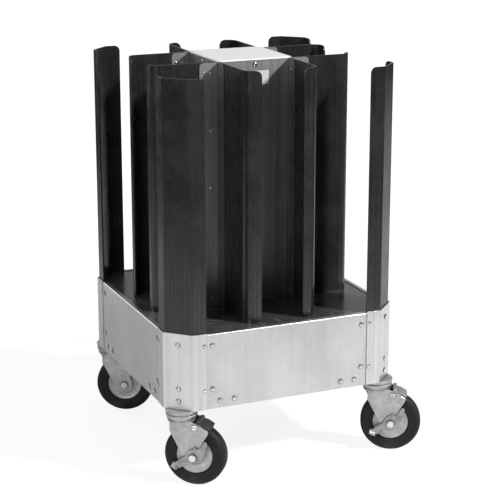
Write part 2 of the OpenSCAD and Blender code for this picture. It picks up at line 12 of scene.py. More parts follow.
import bmesh
import bpy
import numpy as np
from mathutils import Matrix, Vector


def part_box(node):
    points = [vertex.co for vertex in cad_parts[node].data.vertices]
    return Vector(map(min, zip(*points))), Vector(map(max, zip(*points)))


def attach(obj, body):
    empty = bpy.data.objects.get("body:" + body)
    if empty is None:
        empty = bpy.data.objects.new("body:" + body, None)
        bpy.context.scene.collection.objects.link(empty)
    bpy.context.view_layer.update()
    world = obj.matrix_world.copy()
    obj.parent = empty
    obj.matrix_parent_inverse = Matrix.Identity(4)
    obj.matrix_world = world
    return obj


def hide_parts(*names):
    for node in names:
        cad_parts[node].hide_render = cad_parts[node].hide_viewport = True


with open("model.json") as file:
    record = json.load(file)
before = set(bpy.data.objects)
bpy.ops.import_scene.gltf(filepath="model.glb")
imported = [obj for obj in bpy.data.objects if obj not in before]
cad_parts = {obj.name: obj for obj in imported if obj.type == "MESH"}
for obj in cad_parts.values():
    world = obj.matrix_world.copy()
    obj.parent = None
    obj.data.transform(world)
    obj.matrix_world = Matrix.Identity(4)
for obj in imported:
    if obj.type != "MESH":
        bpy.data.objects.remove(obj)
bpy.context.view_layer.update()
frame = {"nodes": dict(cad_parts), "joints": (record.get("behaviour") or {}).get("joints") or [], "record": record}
nodes = frame["nodes"]

# %% [markdown]
# ## Where things are
#
# Every size comes from the frame itself. The column's cap is square and centred, so its box
# gives the cart's own middle, which lies beside the origin because the wheels trail to one
# side. All other places are measured from that middle.

# %% Main places
MM = 0.001
CORNERS = {"fl": (-1, -1), "fr": (1, -1), "bl": (-1, 1), "br": (1, 1)}
cap_low, cap_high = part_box("cap")
deck_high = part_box("deck")[1]
corner_low, corner_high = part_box("corner_fr")
MIDDLE = (cap_low + cap_high) / 2
BOX_BOTTOM = corner_low.z
print("middle", tuple(MIDDLE), "box", BOX_BOTTOM, corner_high.z, "cap", cap_high.z)

# %% [markdown]
# ## The camera
#
# A camera is a point, a direction and a focal length. These three were worked out from the
# picture: the corners of the box, the cap and the posts, whose real places are known, have
# to land on their pixels. The small shift stands for a print that was cropped off centre.

# %% Camera
CAMERA_FROM_BOX = Vector((-1.2341, -2.9009, 1.1203))
CAMERA_YAW = -23.45
CAMERA_PITCH = 14.56
FOCAL_PIXELS = 1527
IMAGE_PIXELS = 500
SENSOR_MM = 36
SHIFT_Y = -0.05

camera_data = bpy.data.cameras.new("photo_camera")
camera_data.sensor_width = SENSOR_MM
camera_data.lens = FOCAL_PIXELS / IMAGE_PIXELS * SENSOR_MM
camera_data.shift_y = SHIFT_Y
camera_data.clip_end = 100
camera = bpy.data.objects.new("photo_camera", camera_data)
camera.location = Vector((MIDDLE.x, MIDDLE.y, BOX_BOTTOM)) + CAMERA_FROM_BOX
camera.rotation_euler = (math.radians(90 - CAMERA_PITCH), 0, math.radians(CAMERA_YAW))
bpy.context.scene.collection.objects.link(camera)
bpy.context.scene.camera = camera
bpy.context.scene.view_settings.view_transform = "Standard"
print("lens", round(camera_data.lens, 1), "mm")


# %% [markdown]
# ## Writing materials as formulas
#
# A node tree is arithmetic drawn as boxes. The class below wraps a socket, so that sums and
# products of sockets add Math nodes by themselves and a material reads like a formula.

# %% Shader helper
class Value:
    """A socket of a node tree that takes part in Python expressions."""

    def __init__(self, tree, socket):
        self.tree = tree
        self.socket = socket

    def node(self, kind, settings=None, inputs=None, out=0):
        """Adds a node: its settings first, then the values or links of its sockets."""
        made = self.tree.nodes.new(kind)
        for name, value in (settings or {}).items():
            setattr(made, name, value)
        for name, value in (inputs or {}).items():
            if isinstance(value, Value):
                self.tree.links.new(value.socket, made.inputs[name])
            else:
                made.inputs[name].default_value = value
        return Value(self.tree, made.outputs[out])

    def math(self, operation, *others):
        """A Math node of this value and the others, in the order of its sockets."""
        return self.node("ShaderNodeMath", {"operation": operation}, dict(enumerate([self, *others])))

    def __add__(self, other):
        return self.math("ADD", other)

    def __sub__(self, other):
        return self.math("SUBTRACT", other)

    def __rsub__(self, other):
        return self.node("ShaderNodeMath", {"operation": "SUBTRACT"}, {0: other, 1: self})

    def __mul__(self, other):
        return self.math("MULTIPLY", other)

    __radd__, __rmul__ = __add__, __mul__

    def clamp(self):
        return self.node("ShaderNodeClamp", {}, {"Value": self})

    def between(self, low, high):
        """0 below low, 1 above high, and smooth in between."""
        limits = {"Value": self, "From Min": low, "From Max": high}
        return self.node("ShaderNodeMapRange", {"interpolation_type": "SMOOTHSTEP"}, limits)


class Paint:
    """A material under construction: its tree, its object coordinates and its shader."""

    def __init__(self, name, **constants):
        self.material = bpy.data.materials.new(name)
        self.material.use_nodes = True
        self.tree = self.material.node_tree
        self.shader = self.tree.nodes["Principled BSDF"]
        for socket, value in constants.items():
            self.shader.inputs[socket.replace("_", " ")].default_value = value
        self.start = Value(self.tree, None)
        self.place = self.start.node("ShaderNodeTexCoord", out=3)

    def noise(self, scale, detail=2, stretch=(1, 1, 1), rough=0.5):
        """Noise with so many features to a metre; a small stretch factor draws them out along its axis."""
        factors = {0: self.place, 1: stretch}
        spot = self.start.node("ShaderNodeVectorMath", {"operation": "MULTIPLY"}, factors)
        inputs = {"Vector": spot, "Scale": scale, "Detail": detail, "Roughness": rough}
        return self.start.node("ShaderNodeTexNoise", {}, inputs)

    def grey(self, value):
        """A grey colour from a number."""
        return self.start.node("ShaderNodeCombineColor", {}, {"Red": value, "Green": value, "Blue": value})

    def feed(self, socket, value):
        """Links a value to a socket of the shader."""
        self.tree.links.new(value.socket, self.shader.inputs[socket])

    def finish(self, tone, rough, relief, strength, distance):
        """Links a grey tone, a roughness, and a relief whose distance is in metres."""
        self.feed("Base Color", self.grey(tone))
        self.feed("Roughness", rough)
        inputs = {"Height": relief, "Strength": strength, "Distance": distance}
        self.feed("Normal", self.start.node("ShaderNodeBump", {}, inputs))
        return self.material


# %% [markdown]
# ## Finishes
#
# Aluminium looks alive through three sizes of variation at once: soft clouds as wide as a
# hand, streaks along the direction in which the sheet was rolled or pulled, and a grain that
# is barely wider than a hair. Shade is painted into the seams where two pieces meet: the
# ambient occlusion node darkens them. Each finish below mixes these from the same few noises.

# %% Metals
def painted_seam_shade(paint, reach, low, dark):
    """Painted shade: 0 in open places and 1 deep in a seam, from one minus the light that comes in over a short
    reach.
    """
    lit = paint.start.node("ShaderNodeAmbientOcclusion", {"samples": 6}, {"Distance": reach}, out=1)
    return (1 - lit.between(low, 1.0)) * dark


def rolled_aluminium(name, tone, rough, cloudy, streaky, along=(1, 1, 0.05), grainy=0.05):
    """Sheet: base colour = tone - clouds - streaks - grain - painted seam shade, and a roughness that follows
    them.
    """
    paint = Paint(name, Metallic=1.0)
    cloud = paint.noise(6, 5, rough=0.6).between(0.3, 0.75)
    streak = paint.noise(80, 3, along).between(0.25, 0.75)
    grain = paint.noise(450, 3, rough=0.7).between(0.25, 0.75)
    tone_here = tone - cloudy * cloud - streaky * streak - grainy * grain
    # Painted shade: the base colour is darkened in seams, where the occlusion finds little light.
    unshaded_share = 1 - painted_seam_shade(paint, reach=0.004, low=0.35, dark=0.55)
    return paint.finish((tone_here * unshaded_share).clamp(), rough + 0.12 * cloud + 0.08 * streak,
                        grain + 2 * streak, strength=0.25, distance=0.00006)


def dull_zinc(name, tone, rough):
    """Zinc plate: pale crystals, each of its own tone, under a faint cloud of handling marks."""
    paint = Paint(name, Metallic=0.9)
    crystal = paint.start.node("ShaderNodeTexVoronoi", {}, {"Vector": paint.place, "Scale": 260.0}, out=1)
    level = paint.start.node("ShaderNodeSeparateXYZ", {}, {"Vector": crystal})
    cloud = paint.noise(45, 4, rough=0.6).between(0.3, 0.7)
    worn = tone - 0.08 * level - 0.1 * cloud
    # Painted shade: the base colour is darkened in seams, where the occlusion finds little light.
    unshaded_share = 1 - painted_seam_shade(paint, reach=0.006, low=0.3, dark=0.6)
    return paint.finish((worn * unshaded_share).clamp(), rough + 0.1 * cloud + 0.06 * level,
                        cloud + 0.4 * level, strength=0.3, distance=0.00008)


def bright_metal(name, tone, rough, rim_shade=0.0, pin_shade=0.0):
    """Turned or headed metal: bright, with handling marks; rivet heads get painted shade at the rim and over the
    pin's pit.

    The heads carry their own attribute: 0 in the middle of a head and 1 at its rim."""
    paint = Paint(name, Metallic=1.0)
    mark = paint.noise(300, 3).between(0.35, 0.7)
    # Painted shade: the base colour is darkened in seams, where the occlusion finds little light.
    unshaded_share = 1 - painted_seam_shade(paint, reach=0.003, low=0.3, dark=0.6)
    if rim_shade:
        ring = paint.start.node("ShaderNodeAttribute", {"attribute_name": "ring"}, out=2)
        # Painted shade: a dark ring round each head's rim and a dark spot over the pin's pit.
        rim, pin = ring.between(0.7, 0.88), 1 - ring.between(0.2, 0.34)
        unshaded_share = unshaded_share * (1 - rim_shade * rim) * (1 - pin_shade * pin)
    worn = ((tone - 0.1 * mark) * unshaded_share).clamp()
    return paint.finish(worn, rough + 0.12 * mark, mark, strength=0.2, distance=0.00004)


# %% [markdown]
# Black plastic is never one black. Pulled sheet carries faint upright ripples that make its
# reflections waver, and use leaves it patchy. The deck is the same plastic, polished by what
# slides over it, with long scuffs in all directions.

# %% Plastics, paint and rubber
def pulled_plastic(name, tone, rough):
    """Satin sheet: upright ripples in the surface, patches in the gloss."""
    paint = Paint(name, Specular_IOR_Level=0.5)
    patch = paint.noise(14, 4, rough=0.6).between(0.3, 0.7)
    ripple = paint.noise(55, 2, (1, 1, 0.015))
    fine = paint.noise(260, 2, (1, 1, 0.012)).between(0.35, 0.7)
    dust = paint.noise(1500, 1).between(0.62, 0.75)
    tone_here = tone * (0.8 + 0.3 * patch) + 0.009 * fine + 0.02 * dust
    return paint.finish(tone_here, rough + 0.14 * patch - 0.08 * fine,
                        ripple + 0.15 * fine, strength=0.35, distance=0.0006)


def scuffed_deck(name, tone):
    """Glossy board: base colour and gloss broken by scuffs, which are thin ridges of stretched noise."""
    paint = Paint(name, Specular_IOR_Level=0.5)
    patch = paint.noise(8, 5, rough=0.65).between(0.3, 0.75)
    scuff_a = 1 - (paint.noise(30, 3, (1, 0.12, 1)) - 0.5).math("ABSOLUTE").between(0.0, 0.02)
    scuff_b = 1 - (paint.noise(34, 3, (0.14, 1, 1)) - 0.5).math("ABSOLUTE").between(0.0, 0.016)
    scuff = scuff_a.math("MAXIMUM", scuff_b) * paint.noise(12, 2).between(0.45, 0.65)
    dust = paint.noise(1200, 2).between(0.55, 0.75)
    return paint.finish(tone + 0.05 * scuff + 0.035 * patch + 0.03 * dust,
                        0.16 + 0.2 * scuff + 0.14 * patch + 0.1 * dust,
                        0.4 * scuff + 0.2 * patch, strength=0.2, distance=0.0002)


def smooth_paint(name, tone, rough):
    """Enamel with a fine orange-peel surface, slightly soiled in broad patches."""
    paint = Paint(name, Specular_IOR_Level=0.5)
    peel = paint.noise(700, 2)
    soil = paint.noise(12, 5, rough=0.65).between(0.4, 0.8)
    # Painted shade: the base colour is darkened in seams, where the occlusion finds little light.
    unshaded_share = 1 - painted_seam_shade(paint, reach=0.003, low=0.3, dark=0.5)
    soiled_and_shaded = (tone - 0.06 * soil) * unshaded_share
    return paint.finish(soiled_and_shaded, rough + 0.15 * soil, peel, strength=0.15, distance=0.0001)


def rubber(name, tone):
    """Matt rubber: fine grain, dusty where it meets the floor."""
    paint = Paint(name, Specular_IOR_Level=0.22)
    grain = paint.noise(1100, 2)
    patch = paint.noise(35, 4).between(0.35, 0.7)
    height = paint.start.node("ShaderNodeSeparateXYZ", {}, {"Vector": paint.place}, out=2)
    dusty = (1 - height.between(0.0, 0.03)) * patch
    tone_here = tone + 0.006 * patch + 0.03 * dusty + 0.008 * grain
    return paint.finish(tone_here, 0.5 + 0.2 * patch, grain, strength=0.3, distance=0.00015)


PULLED = (1, 1, 0.015)
LOOKS = {
    "panel": rolled_aluminium("panel_aluminium", 0.78, 0.32, cloudy=0.12, streaky=0.03, grainy=0.12),
    "corner": rolled_aluminium("corner_aluminium", 0.8, 0.3, cloudy=0.06, along=PULLED, streaky=0.12),
    "column": rolled_aluminium("column_aluminium", 0.42, 0.44, cloudy=0.06, along=PULLED, streaky=0.14),
    "wing": rolled_aluminium("wing_aluminium", 0.46, 0.4, cloudy=0.06, along=PULLED, streaky=0.14),
    "cap": smooth_paint("cap_white", 0.9, 0.35),
    "plate": smooth_paint("plate_pale", 0.6, 0.3),
    # Rivet heads carry painted shade at their rim and over the pin's pit.
    "rivet": bright_metal("rivet_aluminium", 0.86, 0.2, rim_shade=0.85, pin_shade=0.75),
    "deck": scuffed_deck("deck_black", 0.035),
    "black_plastic": pulled_plastic("divider_black", 0.0125, 0.22),
    "zinc": dull_zinc("zinc_plate", 0.56, 0.42),
    "lever": dull_zinc("lever_zinc", 0.46, 0.5),
    "bright_steel": bright_metal("bright_steel", 0.8, 0.22),
    "wheel_core": dull_zinc("wheel_zinc", 0.56, 0.44),
    "tyre": rubber("tyre_rubber", 0.007),
    # This dark finish also stands as painted shade on the front left treadle.
    "treadle": pulled_plastic("treadle_dark", 0.03, 0.3),
}
slots = {row["node"]: row["material_slot"] for row in frame["record"]["subparts"]}
for name, solid in nodes.items():
    for slot in solid.material_slots:
        slot.material = LOOKS[slots[name]]
print("finishes:", len(LOOKS))

# %% [markdown]
# ## Surfaces from formulas
#
# Everything on this cart is bent from sheet, pulled through a die or turned. So three kinds
# of surface are enough: a path swept with a wall, an outline drawn upwards, and a profile
# turned round an axis. Each is one numpy formula over whole arrays, and the corners of a
# path are first replaced by arcs, because sheet never folds to a sharp line.

# %% Shape helpers
def arc(radius, angle):
    """Points of a circle: radius (cos a, sin a)."""
    return radius * np.stack([np.cos(angle), np.sin(angle)], axis=1)


def at_height(plan, height):
    """Plan points with a third coordinate."""
    return np.column_stack([plan, np.broadcast_to(height, len(plan))])


def fillet(before, corner, after, radius, steps):
    """Arc that rounds a corner: it touches both sides at radius * tan(turn / 2) from it.

    Point = centre + rotation(angle) @ (start - centre), with angle from 0 to the whole turn."""
    into = (corner - before) / np.linalg.norm(corner - before)
    out = (after - corner) / np.linalg.norm(after - corner)
    cross = into[0] * out[1] - into[1] * out[0]
    turn = math.atan2(cross, into @ out)
    side = math.copysign(1.0, turn)
    start = corner - into * radius * math.tan(abs(turn) / 2)
    centre = start + side * radius * np.array([-into[1], into[0]])
    arm = start - centre
    cos, sin = arc(1, np.linspace(0, turn, steps + 1)).T
    return centre + np.stack([cos * arm[0] - sin * arm[1], sin * arm[0] + cos * arm[1]], axis=1)


def rounded(points, radii, closed=False, steps=8):
    """A path through points whose corners are arcs of the given radii."""
    points = np.array(points, float)
    radii = np.broadcast_to(radii, len(points))
    runs = []
    for i, (point, radius) in enumerate(zip(points, radii)):
        is_end = not closed and i in (0, len(points) - 1)
        if is_end or radius == 0:
            runs.append(point[None])
        else:
            runs.append(fillet(points[i - 1], point, points[(i + 1) % len(points)], radius, steps))
    return np.concatenate(runs)


def lengths_along(path):
    """The distance from a path's start to each of its points: the sum of |step|."""
    return np.concatenate([[0], np.cumsum(np.linalg.norm(np.diff(path, axis=0), axis=1))])


def resample(path, places):
    """Points of a path at the given distances along it."""
    return np.stack([np.interp(places, lengths_along(path), path[:, k]) for k in (0, 1)], axis=1)


def with_round_ends(path, radius, both=False, steps=8):
    """A path with extra points near its free ends, and how far the sheet's edge drops there.

    The last end is free, or both are. The drop is radius - sqrt(radius^2 - (radius - distance)^2)."""
    lengths = lengths_along(path)
    total = lengths[-1]
    near = radius * (1 - np.cos(np.linspace(0, np.pi / 2, steps + 1)))
    places = np.concatenate([lengths] + [near] * both + [total - near])
    places = np.unique(np.round(places, 4))
    distance = np.minimum(radius, total - places)
    if both:
        distance = np.minimum(distance, places)
    drop = radius - np.sqrt(np.maximum(radius**2 - (radius - distance) ** 2, 0))
    return resample(path, places), drop


def offset(path, amount):
    """A path moved sideways: each point goes along (n1 + n2) / (1 + n1 . n2) of its two normals."""
    step = np.diff(path, axis=0)
    normal = np.stack([-step[:, 1], step[:, 0]], axis=1)
    normal /= np.linalg.norm(normal, axis=1, keepdims=True)
    before = np.concatenate([normal[:1], normal])
    after = np.concatenate([normal, normal[-1:]])
    dot = np.sum(before * after, axis=1, keepdims=True)
    return path + amount * (before + after) / (1 + dot)


def thick_sheet(path, wall, low, high):
    """A wall along a plan path: ring (outer low, outer high, inner high, inner low) at each point."""
    outer, inner = offset(path, wall / 2), offset(path, -wall / 2)
    ring = [(outer, low), (outer, high), (inner, high), (inner, low)]
    points = np.stack([at_height(side, level) for side, level in ring], axis=1)
    return points.reshape(-1, 3), tube_faces(len(path), len(ring), caps=True)


def tube_faces(rings, around, caps=False, wrap=False, closed=True):
    """Quads between neighbouring rings of points, ring after ring.

    Wrap joins the last ring to the first, and closed joins each ring's last point to its first."""
    i, j = np.meshgrid(np.arange(rings - (not wrap)), np.arange(around - (not closed)), indexing="ij")
    next_i, next_j = (i + 1) % rings, (j + 1) % around
    corners = (i, j), (next_i, j), (next_i, next_j), (i, next_j)
    quads = np.stack([ring * around + place for ring, place in corners], axis=-1)
    faces = quads.reshape(-1, 4).tolist()
    if caps:
        faces += [list(range(around)), list(range((rings - 1) * around, rings * around))]
    return faces


def prism(outline, low, high):
    """A closed outline drawn upwards from low to high."""
    points = np.concatenate([at_height(outline, low), at_height(outline, high)])
    return points, tube_faces(2, len(outline), caps=True)


def turned(profile, steps=64, closed=False):
    """A profile of (radius, height) points turned round Z: (r cos a, r sin a, z)."""
    profile = np.array(profile, float)
    angle = np.linspace(0, 2 * np.pi, steps, endpoint=False)[:, None]
    radius, height = profile.T
    height = np.broadcast_to(height, (steps, len(profile)))
    points = np.stack([radius * np.cos(angle), radius * np.sin(angle), height], axis=-1)
    return points.reshape(-1, 3), tube_faces(steps, len(profile), wrap=True, closed=closed)


def moved(part, origin=(0, 0, 0), x=(1, 0, 0), y=(0, 1, 0), z=(0, 0, 1)):
    """A part carried into a frame with the given origin and axes: origin + p.x x + p.y y + p.z z."""
    points, faces = part
    return points @ np.array([x, y, z], float) + np.array(origin, float), faces


# Axes of a part whose +Z is laid towards the viewer and whose y goes up.
FACING = (1, 0, 0), (0, 0, 1), (0, -1, 0)


def joined(*parts):
    """Several parts as one: their points in a row, their faces counted on."""
    points, faces, start = [], [], 0
    for part_points, part_faces in parts:
        points.append(part_points)
        faces += [[start + k for k in face] for face in part_faces]
        start += len(part_points)
    return np.concatenate(points), faces


BEVEL_ANGLE = 35


def piece(name, part, slot, body="base", instead_of=(), edge=0.0, edge_steps=2, look=None, ring=None):
    """Makes a mesh object from a part in millimetres about the cart's middle, on the floor."""
    points, faces = part
    mesh = bpy.data.meshes.new(name)
    place = np.array([MIDDLE.x, MIDDLE.y, 0]) + np.asarray(points) * MM
    mesh.from_pydata(place.tolist(), [], faces)
    if ring is not None:
        mesh.attributes.new("ring", "FLOAT", "POINT").data.foreach_set("value", ring)
    work = bmesh.new()
    work.from_mesh(mesh)
    bmesh.ops.remove_doubles(work, verts=work.verts, dist=1e-6)
    bmesh.ops.recalc_face_normals(work, faces=work.faces)
    work.to_mesh(mesh)
    work.free()
    mesh.shade_smooth()
    made = bpy.data.objects.new(name, mesh)
    bpy.context.scene.collection.objects.link(made)
    if edge > 0:
        bevel = made.modifiers.new("edge", "BEVEL")
        bevel.width = edge * MM
        bevel.segments = edge_steps
        bevel.limit_method = "ANGLE"
        bevel.angle_limit = math.radians(BEVEL_ANGLE)
    normals = made.modifiers.new("normals", "WEIGHTED_NORMAL")
    normals.keep_sharp = True
    mesh.materials.append(LOOKS[look or slot])
    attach(made, body)
    if instead_of:
        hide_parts(*instead_of)


# %% [markdown]
# ## Sizes of the construction
#
# The sheet sizes of the frame's solids, in millimetres, so that each dressed piece lies where
# its solid lies. Places come from the frame's own boxes and joints.

# %% Sizes
HALF_MM = (corner_high.x - MIDDLE.x) / MM
BOX_Z, BOX_UP = BOX_BOTTOM / MM, corner_high.z / MM
DECK_UP, CAP_UP = deck_high.z / MM, cap_high.z / MM
FACET, FLANGE, LAP, LAP_STEP, CORNER_WALL = 46, 30.5, 16.5, 0.6, 2.4
PANEL_WALL, LIP = 1.6, 10.5
FIT, GAP = 0.05, 0.3
POST_WALL, POST_ROUND, POST_BEND = 3, 12, 7
COLUMN, COLUMN_WALL, WING_WALL, WING_ROUND = 81, 2, 1.5, 7.5
SIDE_WING, FRONT_WING = 40, 27.5
CAP_WALL, CAP_OVER = 3, 1
WEB_WALL, CURL, TIP, TIP_ROUND, DIVIDER_IN, DIVIDER_DROP = 3, 23, 10.5, 13, 56, 2
DIAGONAL = math.tan(math.radians(22.5))

BEND = HALF_MM - FACET
FLANGE_END = BEND - FLANGE
LAP_END = FLANGE_END + LAP
PANEL_OUT = HALF_MM - CORNER_WALL - FIT
PANEL_IN = PANEL_OUT - PANEL_WALL
PANEL_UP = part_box("panel_front")[1].z / MM
POST_OUT = PANEL_IN - FIT
POST_LOW, POST_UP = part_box("post_fl")[0].z / MM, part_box("post_fl")[1].z / MM
SHEET_UP = CAP_UP - CAP_WALL
WING_DEEP = WEB_WALL + 2 * FIT + 2 * WING_WALL
WEB_END = HALF_MM - DIVIDER_IN
DIVIDER_UP = CAP_UP - DIVIDER_DROP
print("half width", round(HALF_MM, 2), "flange end", FLANGE_END, "panel top", PANEL_UP)

JOINTS = {joint["name"]: joint for joint in frame["joints"]}


def by_corner(part, name):
    """Mirrors a part from the back right corner to another one."""
    points, faces = part
    return points * np.array([*CORNERS[name], 1.0]), faces


def swapped(part):
    """The same part beyond the corner's diagonal: x and y change places."""
    points, faces = part
    return points[:, [1, 0, 2]], faces


# %% [markdown]
# ## The riveted box
#
# A side panel is a sheet with a narrow lip folded inwards along its top. Swept as a wall along
# its own section, the fold comes out round, and that round is what catches the light. The
# corner sections are extrusions: one outline with a facet, two flanges, and a step of 0.6 mm
# where the flange laps over the panel.

# %% Side panels and corner sections
PANEL_FOLD, NARROWING = 2.4, 0.1
EXTRUSION_BEND = 3
LAP_SLOPE = 0.2


def side_panel():
    """The panel's section, from its foot up and over the fold, drawn along the panel's width.

    It is wide behind the corners' laps, and narrows just below the fold."""
    mid = PANEL_OUT - PANEL_WALL / 2
    top = PANEL_UP - PANEL_WALL / 2
    section = rounded([(-mid, BOX_Z), (-mid, top), (-mid + LIP - PANEL_WALL / 2, top)], PANEL_FOLD)
    upright = PANEL_UP - BOX_Z - 2 * PANEL_WALL
    places = np.concatenate([lengths_along(section), [upright - NARROWING, upright]])
    section = resample(section, np.unique(places))
    is_low = section[:, 1] < PANEL_UP - 2 * PANEL_WALL - NARROWING / 2
    wide = np.where(is_low, LAP_END - GAP, FLANGE_END - GAP)
    return moved(thick_sheet(section, PANEL_WALL, -wide, wide), x=(0, 1, 0), y=(0, 0, 1), z=(1, 0, 0))


def quarter(part, turns):
    """A part turned by quarter turns round the cart's middle."""
    points, faces = part
    cos, sin = math.cos(math.radians(90 * turns)), math.sin(math.radians(90 * turns))
    return points @ np.array([[cos, sin, 0], [-sin, cos, 0], [0, 0, 1]]), faces


for turns, side in enumerate(["front", "right", "back", "left"]):
    sheet = quarter(side_panel(), turns)
    piece(f"sheet_{side}", sheet, "panel", instead_of=[f"panel_{side}"], edge=0.3)


def corner_outline():
    """Outer side with its laps, then back along the inner side."""
    inner = HALF_MM - CORNER_WALL
    near = BEND - CORNER_WALL * DIAGONAL
    low = HALF_MM - LAP_STEP
    r = EXTRUSION_BEND
    outer = [(FLANGE_END, low, 0), (LAP_END, low, 0), (LAP_END + LAP_SLOPE, HALF_MM, 0),
             (BEND, HALF_MM, r), (HALF_MM, BEND, r),
             (HALF_MM, LAP_END + LAP_SLOPE, 0), (low, LAP_END, 0), (low, FLANGE_END, 0)]
    back = [(inner, FLANGE_END, 0), (inner, near, r / 2), (near, inner, r / 2), (FLANGE_END, inner, 0)]
    corners = np.array(outer + back)
    return rounded(corners[:, :2], corners[:, 2], closed=True)


for name in CORNERS:
    section = prism(corner_outline(), BOX_Z, BOX_UP)
    piece(f"extrusion_{name}", by_corner(section, name), "corner",
          instead_of=[f"corner_{name}"], edge=0.15)
print("box: 4 panels, 4 extrusions")

# %% [markdown]
# ## Posts and dividers
#
# The posts are bent from plastic sheet: flange, bend, facet, bend, flange, in one path. Their
# free upper corners are rounded off. The dividers are one strip as well: a flat web that is
# held in the column's slot, a quarter curl, and a short straight tip with rounded corners.

# %% Posts and dividers
def post():
    """Mid-surface path round the corner; the top edge drops at both free ends."""
    mid = POST_OUT - POST_WALL / 2
    facet_gap = (CORNER_WALL + FIT) * math.sqrt(2)
    far = HALF_MM + BEND - facet_gap - POST_OUT - POST_WALL / 2 * DIAGONAL
    path = rounded([(FLANGE_END, mid), (far, mid), (mid, far), (mid, FLANGE_END)], POST_BEND)
    path, drop = with_round_ends(path, POST_ROUND, both=True)
    return thick_sheet(path, POST_WALL, POST_LOW, POST_UP - drop)


for name in CORNERS:
    piece(f"post_sheet_{name}", by_corner(post(), name), "black_plastic",
          instead_of=[f"post_{name}"], edge=0.7)


def divider():
    """Web, curl and tip along +X from the back right corner of the column."""
    mid = COLUMN - WING_WALL - FIT - WEB_WALL / 2
    tip_end = COLUMN - WING_WALL - FIT - CURL - TIP
    bend = CURL - WEB_WALL / 2
    end = WEB_END + CURL - WEB_WALL / 2
    path = rounded([(COLUMN + GAP, mid), (end, mid), (end, tip_end)], bend, steps=14)
    path, drop = with_round_ends(path, TIP_ROUND)
    return thick_sheet(path, WEB_WALL, DECK_UP + drop, DIVIDER_UP - drop)


SIDES_OF = {"fl": ("left_front", "front_left"), "fr": ("right_front", "front_right"),
            "bl": ("left_back", "back_left"), "br": ("right_back", "back_right")}
for name, (along_x, along_y) in SIDES_OF.items():
    for place, part in ((along_x, divider()), (along_y, swapped(divider()))):
        piece(f"curl_{place}", by_corner(part, name), "black_plastic",
              instead_of=[f"divider_{place}"], edge=0.7)
print("4 posts, 8 dividers")

# %% [markdown]
# ## The column and its cap
#
# Each corner of the column is a small extrusion with slotted wings. A wing is two thin walls
# that grip a divider between them, and its outer top corner is rounded. The cap is a flat
# plate, cut away at the corners where the wings' cores come up, with a softened rim.

# %% Column corners and cap
TONGUE, ROOT = 14, 0.5
CAP_SKIRT, SKIRT_SHORT = 18, 2


def wing(long):
    """The two walls of a wing along +X; their outer top corners are rounded."""
    walls = []
    for y in (COLUMN - WING_WALL / 2, COLUMN - WING_DEEP + WING_WALL / 2):
        straight = np.array([(COLUMN - ROOT, y), (COLUMN + long, y)])
        path, drop = with_round_ends(straight, WING_ROUND)
        walls.append(thick_sheet(path, WING_WALL, DECK_UP, SHEET_UP - drop))
    return joined(*walls)


def square_outline(low_x, low_y, high_x, high_y):
    """The four corners of a rectangle."""
    return np.array([(low_x, low_y), (high_x, low_y), (high_x, high_y), (low_x, high_y)], float)


core = COLUMN - WING_DEEP
behind = COLUMN - COLUMN_WALL - FIT - WING_WALL
outlines = [square_outline(core, core, COLUMN, COLUMN),
            square_outline(core - TONGUE, behind, core + ROOT, behind + WING_WALL),
            square_outline(behind, core - TONGUE, behind + WING_WALL, core + ROOT)]
slotted = joined(wing(SIDE_WING), swapped(wing(FRONT_WING)),
                 *[prism(outline, DECK_UP, SHEET_UP) for outline in outlines])
for name in CORNERS:
    piece(f"slot_section_{name}", by_corner(slotted, name), "column",
          instead_of=[f"wing_{name}"], edge=0.25, look="wing")


def cap_plate():
    """A cross outline: the overhang stops at the wings' cores."""
    wide, narrow = COLUMN + CAP_OVER, COLUMN - WING_DEEP
    notch = [(wide, narrow), (COLUMN, narrow), (COLUMN, COLUMN), (narrow, COLUMN), (narrow, wide)]
    turns = [np.array([[math.cos(a), math.sin(a)], [-math.sin(a), math.cos(a)]])
             for a in np.radians([0, 90, 180, 270])]
    return prism(np.concatenate([np.array(notch) @ turn for turn in turns]), SHEET_UP, CAP_UP)


skirt_wide = COLUMN - WING_DEEP - TONGUE - SKIRT_SHORT
skirt_out = COLUMN - COLUMN_WALL - FIT
skirt = prism(square_outline(-skirt_wide, -skirt_out, skirt_wide, -skirt_out + WING_WALL),
              SHEET_UP - CAP_SKIRT, SHEET_UP + ROOT)
piece("cap_plate", joined(cap_plate(), *[quarter(skirt, k) for k in range(4)]), "cap",
      instead_of=["cap"], edge=0.8, edge_steps=3)
print("column: 4 slotted corners, a cap")

# %% [markdown]
# ## Rivets
#
# A blind rivet's head is a shallow dome with a small dimple where its mandrel broke off. One
# profile is turned once and then copied to every place, so all heads are the same piece.

# %% Rivets
HEAD_STEPS = 24
HEAD_SHARE = np.array([1, 1, 0.97, 0.9, 0.8, 0.68, 0.55, 0.42, 0.32, 0.29, 0.27, 0.18, 0])
HEAD_RISE = np.array([0, 0.3, 0.42, 0.56, 0.7, 0.82, 0.91, 0.97, 1, 0.94, 0.6, 0.55, 0.62])


def head(radius, height):
    """A head: an upright rim, a dome, and the small pit where the pin broke off."""
    return turned(np.column_stack([radius * HEAD_SHARE, height * HEAD_RISE]), steps=HEAD_STEPS)


def riveted(place, heads):
    """Makes one piece of many heads, with each point's share of its head's radius, and counts them."""
    part = joined(*heads)
    count = len(part[0]) // (len(HEAD_SHARE) * HEAD_STEPS)
    ring = np.tile(HEAD_SHARE, HEAD_STEPS * count)
    piece(f"heads_{place}", part, "rivet", instead_of=[f"{place}_rivets"], ring=ring)
    return count


def stuck_on(part, place, outward):
    """A part whose +Z is carried to an outward direction at a place."""
    z = np.array(outward, float) / np.linalg.norm(outward)
    x = np.array([-z[1], z[0], 0]) / math.hypot(z[0], z[1])
    return moved(part, place, x, np.cross(z, x), z)


